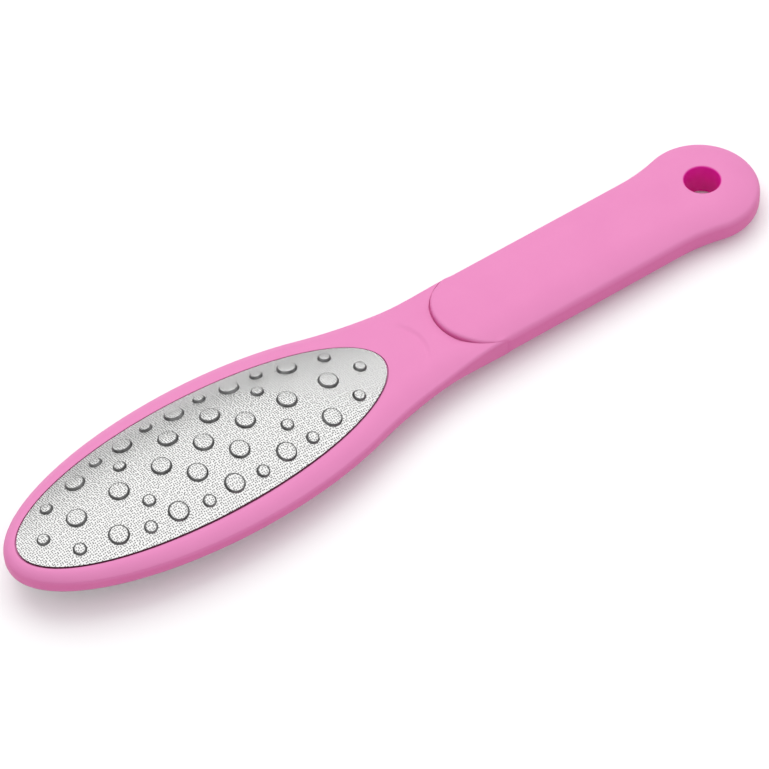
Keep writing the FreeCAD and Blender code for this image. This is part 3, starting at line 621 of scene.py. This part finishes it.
bpy.ops.mesh.primitive_circle_add(vertices=PLATE_STEPS, radius=PLATE_HALF_LENGTH)
plate = open_piece("coarse_sheet")
bpy.ops.mesh.select_all(action="SELECT")
bpy.ops.transform.resize(value=(1, PLATE_HALF_WIDTH / PLATE_HALF_LENGTH, 1), center_override=(0, 0, 0))
for ring in range(PLATE_RINGS, 1, -1):
    shrink = (ring - 1) / ring
    bpy.ops.mesh.extrude_region_move()
    bpy.ops.transform.resize(value=(shrink, shrink, 1), center_override=(0, 0, 0))
bpy.ops.mesh.edge_face_add()
mesh = bmesh.from_edit_mesh(plate.data)
for vert in mesh.verts:
    vert.co = dome_point(vert.co.x, vert.co.y)
bmesh.update_edit_mesh(plate.data)
bpy.ops.mesh.select_all(action="SELECT")
bpy.ops.mesh.normals_make_consistent(inside=False)
bpy.ops.object.mode_set(mode="OBJECT")
bpy.ops.object.modifier_add(type="SOLIDIFY")
solidify = plate.modifiers[-1]
solidify.thickness = SHEET
solidify.offset = -1
bpy.ops.object.modifier_apply(modifier=solidify.name)
print("sheet faces:", len(plate.data.polygons))

# %% [markdown]
# ## The fine plate on the back
# The back carries the same sheet without bumps. It is a copy with a mesh of its own, turned over by a
# negative scale, after which its normals are made to point outwards again.

# %% Fine plate
bpy.ops.object.select_all(action="DESELECT")
plate.select_set(True)
bpy.context.view_layer.objects.active = plate
bpy.ops.object.duplicate()
back_plate = open_piece("fine_sheet")
bpy.ops.mesh.select_all(action="SELECT")
bpy.ops.transform.resize(value=(1, 1, -1), center_override=(0, 0, 0))
bring_home(back_plate)

# %% [markdown]
# ## The bumps
# The rasp's bumps are flat-topped stubs in two sizes, pressed in a pattern that is the same on both sides of
# both axes. One of each is modelled from a cone with a softened upper edge, copied to every place square to
# the dome, and all are joined to the sheet in one boolean, so sheet and bumps are a single skin.

# %% One bump of each size
BUMP_HEIGHT = 0.55 * MM
BUMP_ROOT = 0.3 * MM
BUMP_WALL = 0.4 * MM
BUMP_ROUND = 0.3 * MM
BIG_BUMP, SMALL_BUMP = 2.75 * MM, 1.85 * MM
BUMP_MARGIN = 2.4 * MM
BUMP_SIDES = 28
BUMP_SEGMENTS = 2


def make_bump(name, radius):
    """One bump, standing on the origin, with a root below it."""
    bpy.ops.mesh.primitive_cone_add(
        vertices=BUMP_SIDES, radius1=radius, radius2=radius - BUMP_WALL, depth=BUMP_HEIGHT + BUMP_ROOT,
        location=(0, 0, (BUMP_HEIGHT - BUMP_ROOT) / 2))
    bpy.ops.object.transform_apply(location=True)
    bump = open_piece(name)
    pick_edges(bump, lambda edge: all(v.co.z > BUMP_HEIGHT - NEAR for v in edge.verts))
    bpy.ops.mesh.bevel(offset=BUMP_ROUND, segments=BUMP_SEGMENTS, affect="EDGES")
    bpy.ops.object.mode_set(mode="OBJECT")
    return bump


# %% Places of the bumps
MIDDLE_ROW_SHARES = (0.0, 0.232, 0.464, 0.696)
END_BUMP_SHARE = 0.876
SIDE_ROW_WIDTH_SHARE = 0.352
SIDE_ROW_BIG_SHARE = 0.116
SIDE_ROW_SMALL_SHARE = 0.381
BIG_EDGE_SHARES = (0.0, 0.297, 0.588)
SMALL_EDGE_SHARES = (0.148, 0.446, 0.771)


def edge_row(share, radius):
    """Distance from the middle of a bump that keeps its margin from the long edge."""
    return PLATE_HALF_WIDTH * math.sqrt(1 - share ** 2) - radius - BUMP_MARGIN


def four_ways(x, y):
    """A place and its mirror images, each once."""
    return sorted({(a * x, b * y) for a in (-1, 1) for b in (-1, 1)})


side_row = SIDE_ROW_WIDTH_SHARE * PLATE_HALF_WIDTH
big_places = [(share, 0.0) for share in MIDDLE_ROW_SHARES]
big_places += [(SIDE_ROW_BIG_SHARE, side_row)]
big_places += [(share, edge_row(share, BIG_BUMP)) for share in BIG_EDGE_SHARES]
small_places = [(END_BUMP_SHARE, 0.0), (SIDE_ROW_SMALL_SHARE, side_row)]
small_places += [(share, edge_row(share, SMALL_BUMP)) for share in SMALL_EDGE_SHARES]
print("places before mirroring: %d big, %d small" % (len(big_places), len(small_places)))

# %% Press the bumps into the sheet
copies = []
for name, radius, places in (("big_bump", BIG_BUMP, big_places), ("small_bump", SMALL_BUMP, small_places)):
    bump = make_bump(name, radius)
    for share, row in places:
        for x, y in four_ways(share * PLATE_HALF_LENGTH, row):
            bpy.ops.object.select_all(action="DESELECT")
            bump.select_set(True)
            bpy.context.view_layer.objects.active = bump
            bpy.ops.object.duplicate()
            copy = bpy.context.object
            turn = Vector((0, 0, 1)).rotation_difference(dome_normal(x, y)).to_matrix().to_4x4()
            copy.matrix_world = Matrix.Translation(dome_point(x, y)) @ turn
            copies.append(copy)
    bpy.data.objects.remove(bump)
bpy.ops.object.select_all(action="DESELECT")
for copy in copies:
    copy.select_set(True)
bpy.context.view_layer.objects.active = copies[0]
print("bumps:", len(copies))
bpy.ops.object.transform_apply(location=True, rotation=True, scale=True)
bpy.ops.object.join()
apply_boolean(plate, bpy.context.object, "UNION")
bpy.ops.object.mode_set(mode="EDIT")
bring_home(plate)

# %% [markdown]
# ## Finishes
# Each finish is a small node tree on object coordinates, so its grain has the same size on every piece. Most
# values of a noise lie between 0.3 and 0.7, so shades and ranges are spread over that part.

# %% Helpers for finishes
NOISE_LOW, NOISE_HIGH = 0.3, 0.7


def new_finish(name):
    """A new material, its node tree and its shader."""
    material = bpy.data.materials.new(name)
    material.use_nodes = True
    tree = material.node_tree
    return material, tree, tree.nodes["Principled BSDF"]


def add_node(tree, kind, settings=(), links=()):
    """Add a node, set its inputs and properties by name, and link other sockets into it."""
    node = tree.nodes.new(kind)
    for name, value in dict(settings).items():
        if name in node.inputs:
            node.inputs[name].default_value = value
        else:
            setattr(node, name, value)
    for name, socket in dict(links).items():
        tree.links.new(socket, node.inputs[name])
    return node


def object_place(tree):
    return add_node(tree, "ShaderNodeTexCoord").outputs["Object"]


def noise(tree, place, scale, detail=2.0):
    settings = {"Scale": scale, "Detail": detail}
    return add_node(tree, "ShaderNodeTexNoise", settings, {"Vector": place}).outputs["Fac"]


def spread(tree, value, low, high, start=NOISE_LOW, end=NOISE_HIGH):
    """Map a value that lies between start and end onto a range."""
    settings = {"From Min": start, "From Max": end, "To Min": low, "To Max": high}
    return add_node(tree, "ShaderNodeMapRange", settings, {"Value": value}).outputs["Result"]


def shades(tree, value, dark, pale):
    """Colour between a dark and a pale one, by a noise value."""
    node = add_node(tree, "ShaderNodeValToRGB", links={"Fac": value})
    for stop, position, colour in zip(node.color_ramp.elements, (NOISE_LOW, NOISE_HIGH), (dark, pale)):
        stop.position = position
        stop.color = (*colour, 1)
    return node.outputs["Color"]


def blend(tree, share, first, second):
    """Colour between two others, the second where the share is 1."""
    node = add_node(tree, "ShaderNodeMix", {"data_type": "RGBA"})
    for socket, source in zip((node.inputs[0], node.inputs[6], node.inputs[7]), (share, first, second)):
        tree.links.new(source, socket)
    return node.outputs[2]


def facing_up(tree, start, end):
    """0 on upright walls and 1 on faces that look up or down."""
    facing = add_node(tree, "ShaderNodeTexCoord").outputs["Normal"]
    height = add_node(tree, "ShaderNodeSeparateXYZ", links={"Vector": facing}).outputs["Z"]
    upright = add_node(tree, "ShaderNodeMath", {"operation": "ABSOLUTE"})
    tree.links.new(height, upright.inputs[0])
    return spread(tree, upright.outputs[0], 0.0, 1.0, start, end)


def wear_finish(piece, material):
    """Give a piece its finish, and hang it under the frame's root body."""
    piece.data.materials.clear()
    piece.data.materials.append(material)
    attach(piece, "root")


# %% [markdown]
# The two pink mouldings share a finish. Its colour holds painted light and shade: a paler lit copy of the
# pink on faces that look up, a deeper shaded copy on the flanks, and painted shade deepest inside the hanging
# hole, which is told by the distance from the hole's axis.

# %% Pink plastic and soft grip
# Lit and shaded copies of the pink: painted light on the tops, painted shade on the flanks.
LIT_TOP_PINK = (0.718, 0.214, 0.459), (0.733, 0.224, 0.471)
SHADED_FLANK_PINK = (0.652, 0.122, 0.352), (0.668, 0.130, 0.360)
# Painted shade for the inside of the hanging hole: a deep magenta in place of shade and pink bounce light.
HOLE_SHADE_PINK = (0.74, 0.004, 0.34), (0.78, 0.006, 0.38)
FLANK_FACING, TOP_FACING = 0.1, 0.85
HOLE_SHADE_START, HOLE_SHADE_END = HOLE_RADIUS + 0.05 * MM, HOLE_RADIUS + 0.45 * MM
CLOUD_SCALE, CLOUD_DETAIL = 90, 3
SHEEN_SCALE = 700
GRAIN_STRENGTH = 0.25


def moulded_pink(name, low_rough, high_rough, grain_size, grain_depth):
    """Pink moulding with a range of roughness and a fine grain."""
    material, tree, shader = new_finish(name)
    place = object_place(tree)
    cloud = noise(tree, place, CLOUD_SCALE, CLOUD_DETAIL)
    upwards = facing_up(tree, FLANK_FACING, TOP_FACING)
    # Painted light and shade: a paler lit pink on faces that look up, a deeper shaded pink on upright flanks.
    skin = blend(tree, upwards, shades(tree, cloud, *SHADED_FLANK_PINK), shades(tree, cloud, *LIT_TOP_PINK))
    # Painted shade: near the hole's axis the walls of the hanging hole turn deep magenta, standing in for the
    # shade inside it.
    shift = {"Location": (-HOLE_X - HOME.x, 0, 0), "Scale": (1, 1, 0)}
    spot = add_node(tree, "ShaderNodeMapping", shift, {"Vector": place}).outputs["Vector"]
    away = add_node(tree, "ShaderNodeVectorMath", {"operation": "LENGTH"})
    tree.links.new(spot, away.inputs[0])
    outside = spread(tree, away.outputs["Value"], 0.0, 1.0, HOLE_SHADE_START, HOLE_SHADE_END)
    tree.links.new(blend(tree, outside, shades(tree, cloud, *HOLE_SHADE_PINK), skin), shader.inputs["Base Color"])
    sheen = spread(tree, noise(tree, place, SHEEN_SCALE), low_rough, high_rough)
    tree.links.new(sheen, shader.inputs["Roughness"])
    relief = {"Strength": GRAIN_STRENGTH, "Distance": grain_depth}
    bump = add_node(tree, "ShaderNodeBump", relief, {"Height": noise(tree, place, 1 / grain_size)})
    tree.links.new(bump.outputs["Normal"], shader.inputs["Normal"])
    return material


frame_pink = moulded_pink(
    "satin_pink_plastic", low_rough=0.40, high_rough=0.50, grain_size=0.35 * MM, grain_depth=0.02 * MM)
grip_pink = moulded_pink(
    "soft_touch_pink", low_rough=0.48, high_rough=0.58, grain_size=0.5 * MM, grain_depth=0.03 * MM)
wear_finish(moulding, frame_pink)
wear_finish(sleeve, grip_pink)
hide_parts("core_frame")
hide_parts("soft_grip")

# %% [markdown]
# The sheet's fine tooth is a field of small pits, painted dark as the shade inside them. Wherever the skin
# leans away from the plain dome, on the walls of the bumps and on the sheet's edge, the steel is painted dark
# as a dark reflection, which draws a line round every bump.

# %% Toothed steel
TOOTH_PITCH = 0.56 * MM
FINE_PITCH_SHARE = 0.7
TOOTH_RANDOMNESS = 0.45
PIT_START, PIT_END = 0.12, 0.48
# The pit pattern is the real tooth; the dark steel in the pits is painted shade.
SHADED_PIT_STEEL = (0.24, 0.24, 0.24), (1.0, 1.0, 0.99)
# Painted dark reflection for the walls of the bumps and the sheet's edge.
PAINTED_WALL_REFLECTION = (0.08, 0.08, 0.08), (0.22, 0.22, 0.22)
WALL_SCALE = 500
WALL_START, WALL_END = 0.12, 0.4
POLISH_SCALE, POLISH_DETAIL = 260, 3
POLISH_LOW, POLISH_HIGH = 0.30, 0.42
TOOTH_STRENGTH = 0.5


def toothed_steel(name, pitch, depth):
    """Steel with teeth this far apart and this deep."""
    material, tree, shader = new_finish(name)
    place = object_place(tree)
    cells = {"Scale": 1 / pitch, "Randomness": TOOTH_RANDOMNESS, "voronoi_dimensions": "2D"}
    pits = add_node(tree, "ShaderNodeTexVoronoi", cells, {"Vector": place}).outputs["Distance"]
    tips = spread(tree, pits, 0.0, 1.0, PIT_START, PIT_END)
    dome = {"Location": (-HOME.x / LONG_RADIUS, 0, 0), "Scale": (1 / LONG_RADIUS, 1 / CROWN_RADIUS, 0)}
    smooth = add_node(tree, "ShaderNodeMapping", dome, {"Vector": place}).outputs["Vector"]
    facing = add_node(tree, "ShaderNodeTexCoord").outputs["Normal"]
    flat = add_node(tree, "ShaderNodeMapping", {"Scale": (1, 1, 0)}, {"Vector": facing}).outputs["Vector"]
    lean = add_node(tree, "ShaderNodeVectorMath", {"operation": "DISTANCE"})
    tree.links.new(smooth, lean.inputs[0])
    tree.links.new(flat, lean.inputs[1])
    # Painted dark reflection where the skin leans away from the plain dome.
    wall = spread(tree, lean.outputs["Value"], 0.0, 1.0, WALL_START, WALL_END)
    wall_reflection_tone = shades(tree, noise(tree, place, WALL_SCALE), *PAINTED_WALL_REFLECTION)
    tone = blend(tree, wall, shades(tree, tips, *SHADED_PIT_STEEL), wall_reflection_tone)
    tree.links.new(tone, shader.inputs["Base Color"])
    polish = spread(tree, noise(tree, place, POLISH_SCALE, POLISH_DETAIL), POLISH_LOW, POLISH_HIGH)
    tree.links.new(polish, shader.inputs["Roughness"])
    relief = {"Strength": TOOTH_STRENGTH, "Distance": depth}
    bump = add_node(tree, "ShaderNodeBump", relief, {"Height": tips})
    tree.links.new(bump.outputs["Normal"], shader.inputs["Normal"])
    shader.inputs["Metallic"].default_value = 1.0
    return material


rasp_steel = toothed_steel("rasp_steel", TOOTH_PITCH, depth=0.06 * MM)
fine_steel = toothed_steel("fine_steel", FINE_PITCH_SHARE * TOOTH_PITCH, depth=0.03 * MM)
wear_finish(plate, rasp_steel)
wear_finish(back_plate, fine_steel)
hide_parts("coarse_plate")
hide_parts("fine_plate")

# %% [markdown]
# The two adhesive films keep the frame's own shape, since only their edge could ever show. They get a dull,
# streaky finish, whose near-black maroon is painted shade for the gap round the plates.

# %% Adhesive film
# The films are real; their near-black maroon is painted shade in the gap round the plates.
FILM_AND_GAP_SHADE_TONES = (0.10, 0.006, 0.035), (0.16, 0.012, 0.06)
STREAK_SCALE, STREAK_DETAIL = 400, 3
FILM_LOW_ROUGH, FILM_HIGH_ROUGH = 0.55, 0.75

film, tree, shader = new_finish("adhesive_film")
streaks = noise(tree, object_place(tree), STREAK_SCALE, STREAK_DETAIL)
tree.links.new(shades(tree, streaks, *FILM_AND_GAP_SHADE_TONES), shader.inputs["Base Color"])
tree.links.new(spread(tree, streaks, FILM_LOW_ROUGH, FILM_HIGH_ROUGH), shader.inputs["Roughness"])
for node in ("coarse_bond_film", "fine_bond_film"):
    frame["nodes"][node].data.materials.clear()
    frame["nodes"][node].data.materials.append(film)
print("finishes:", ", ".join(sorted(m.name for m in (frame_pink, grip_pink, rasp_steel, fine_steel, film))))

# %% [markdown]
# ## Floor, light and camera
# The file lies on its back, on the dome of the fine plate and the end of the grip, so the floor leans a
# little against the file's own mid-plane. The lean and the point of touch depend on each other, so both are
# found by repeating.

# %% Floor
FLOOR_SIZE = 1.2
FLOOR_GLOW = 0.04
TILT_ROUNDS = 50
PAPER_WHITES = (0.90, 0.90, 0.90), (0.92, 0.92, 0.92)
PAPER_SCALE = 8
PAPER_ROUGH = 0.9
tilt = 0.0
for _ in range(TILT_ROUNDS):
    roll = LONG_RADIUS * Vector((math.sin(tilt), 0, 1 - math.cos(tilt)))
    touch = Vector((HOME.x, 0, back_low.z)) + roll
    tilt = math.atan2(grip_low.z - touch.z, grip_high.x - SIDE_ROUND - touch.x)
print("the floor leans %.2f degrees" % math.degrees(tilt))
bpy.ops.mesh.primitive_plane_add(size=FLOOR_SIZE)
floor = bpy.context.object
floor.name = "floor"
floor.matrix_world = Matrix.Translation(touch) @ Matrix.Rotation(-tilt, 4, "Y")
bpy.ops.object.transform_apply(location=True, rotation=True)
paper, tree, shader = new_finish("white_paper")
cloud = noise(tree, object_place(tree), PAPER_SCALE)
tree.links.new(shades(tree, cloud, *PAPER_WHITES), shader.inputs["Base Color"])
shader.inputs["Roughness"].default_value = PAPER_ROUGH
shader.inputs["Specular IOR Level"].default_value = 0.0
path = add_node(tree, "ShaderNodeLightPath").outputs
shiny = add_node(tree, "ShaderNodeMath", {"operation": "MAXIMUM"})
tree.links.new(path["Is Glossy Ray"], shiny.inputs[0])
tree.links.new(path["Is Transmission Ray"], shiny.inputs[1])
seen = add_node(tree, "ShaderNodeMath", {"operation": "MAXIMUM"})
tree.links.new(path["Is Camera Ray"], seen.inputs[0])
tree.links.new(shiny.outputs[0], seen.inputs[1])
lift = add_node(tree, "ShaderNodeMath", {"operation": "MULTIPLY"})
tree.links.new(seen.outputs[0], lift.inputs[0])
lift.inputs[1].default_value = FLOOR_GLOW
shader.inputs["Emission Color"].default_value = (1, 1, 1, 1)
tree.links.new(lift.outputs[0], shader.inputs["Emission Strength"])
floor.data.materials.append(paper)

# %% [markdown]
# The light is a soft studio: a bright ceiling over darker walls, and one wide lamp behind the file, which
# casts the shadow to the front. The steel mirrors this room, and the lamp would burn a white patch into it,
# so the lamp is kept out of reflections.

# %% Studio light
WINDOW_SIDE = (0.25, -0.97, 0.0)
DARK_WALL, BRIGHT_WALL, CEILING = 0.25, 0.32, 1.0
WINDOW_START, WINDOW_END = -0.1, 0.9
CEILING_START, CEILING_END = 0.05, 0.62
LAMP_PLACE = Vector((0.1, 0.45, 0.75))
LAMP_SIZE = 0.9
LAMP_ENERGY = 3.4
world = bpy.data.worlds.new("soft_studio")
bpy.context.scene.world = world
world.use_nodes = True
tree = world.node_tree
sky = tree.nodes["Background"]
way = add_node(tree, "ShaderNodeTexCoord").outputs["Generated"]
height = add_node(tree, "ShaderNodeSeparateXYZ", links={"Vector": way}).outputs["Z"]
front = add_node(tree, "ShaderNodeVectorMath", {"operation": "DOT_PRODUCT"}, {"Vector": way})
front.inputs[1].default_value = WINDOW_SIDE
wall_range = {"interpolation_type": "SMOOTHSTEP", "From Min": WINDOW_START, "From Max": WINDOW_END,
              "To Min": DARK_WALL, "To Max": BRIGHT_WALL}
ceiling_range = {"interpolation_type": "SMOOTHSTEP", "From Min": CEILING_START, "From Max": CEILING_END}
walls = add_node(tree, "ShaderNodeMapRange", wall_range, {"Value": front.outputs["Value"]}).outputs["Result"]
ceiling = add_node(tree, "ShaderNodeMapRange", ceiling_range, {"Value": height}).outputs["Result"]
glow = add_node(tree, "ShaderNodeMix", {"data_type": "FLOAT"})
tree.links.new(ceiling, glow.inputs[0])
tree.links.new(walls, glow.inputs[2])
glow.inputs[3].default_value = CEILING
tree.links.new(glow.outputs[0], sky.inputs["Strength"])
sky.inputs["Color"].default_value = (1, 1, 1, 1)

bpy.ops.object.light_add(type="AREA", location=LAMP_PLACE)
key = bpy.context.object
key.name = "key_light"
key.data.size = LAMP_SIZE
key.data.energy = LAMP_ENERGY
key.visible_glossy = False
key.rotation_euler = LAMP_PLACE.to_track_quat("Z", "Y").to_euler()
print("lamp %.2f m up, %.1f m wide" % (LAMP_PLACE.z, LAMP_SIZE))

# %% [markdown]
# The camera stands where the photo was taken from: about a metre away with a long lens, so that the near
# end of the file looks hardly larger than the far one, and turned a little about its own axis.

# %% Camera
SENSOR = 36.0
FOCAL_PIXELS = 3935.5
PICTURE_PIXELS = 769
CAMERA_AZIMUTH, CAMERA_ELEVATION, CAMERA_ROLL = (math.radians(a) for a in (-33.171, 48.958, -2.590))
CAMERA_DISTANCE = 958.2 * MM
CAMERA_TARGET = HOME + Vector((49.04 * MM, -4.79 * MM, -0.13 * MM))

back = Vector((math.sin(CAMERA_AZIMUTH) * math.cos(CAMERA_ELEVATION),
               -math.cos(CAMERA_AZIMUTH) * math.cos(CAMERA_ELEVATION), math.sin(CAMERA_ELEVATION)))
right = Vector((0, 0, 1)).cross(back).normalized()
up = back.cross(right)
tilted_right = math.cos(CAMERA_ROLL) * right + math.sin(CAMERA_ROLL) * up
tilted_up = math.cos(CAMERA_ROLL) * up - math.sin(CAMERA_ROLL) * right
bpy.ops.object.camera_add()
camera = bpy.context.object
camera.data.sensor_width = SENSOR
camera.data.lens = FOCAL_PIXELS / PICTURE_PIXELS * SENSOR
turn = Matrix((tilted_right, tilted_up, back)).transposed().to_4x4()
camera.matrix_world = Matrix.Translation(CAMERA_TARGET + CAMERA_DISTANCE * back) @ turn
bpy.context.scene.camera = camera
print("camera %.2f m away, lens %.0f mm" % (CAMERA_DISTANCE, camera.data.lens))
bpy.context.scene.view_settings.view_transform = "Standard"
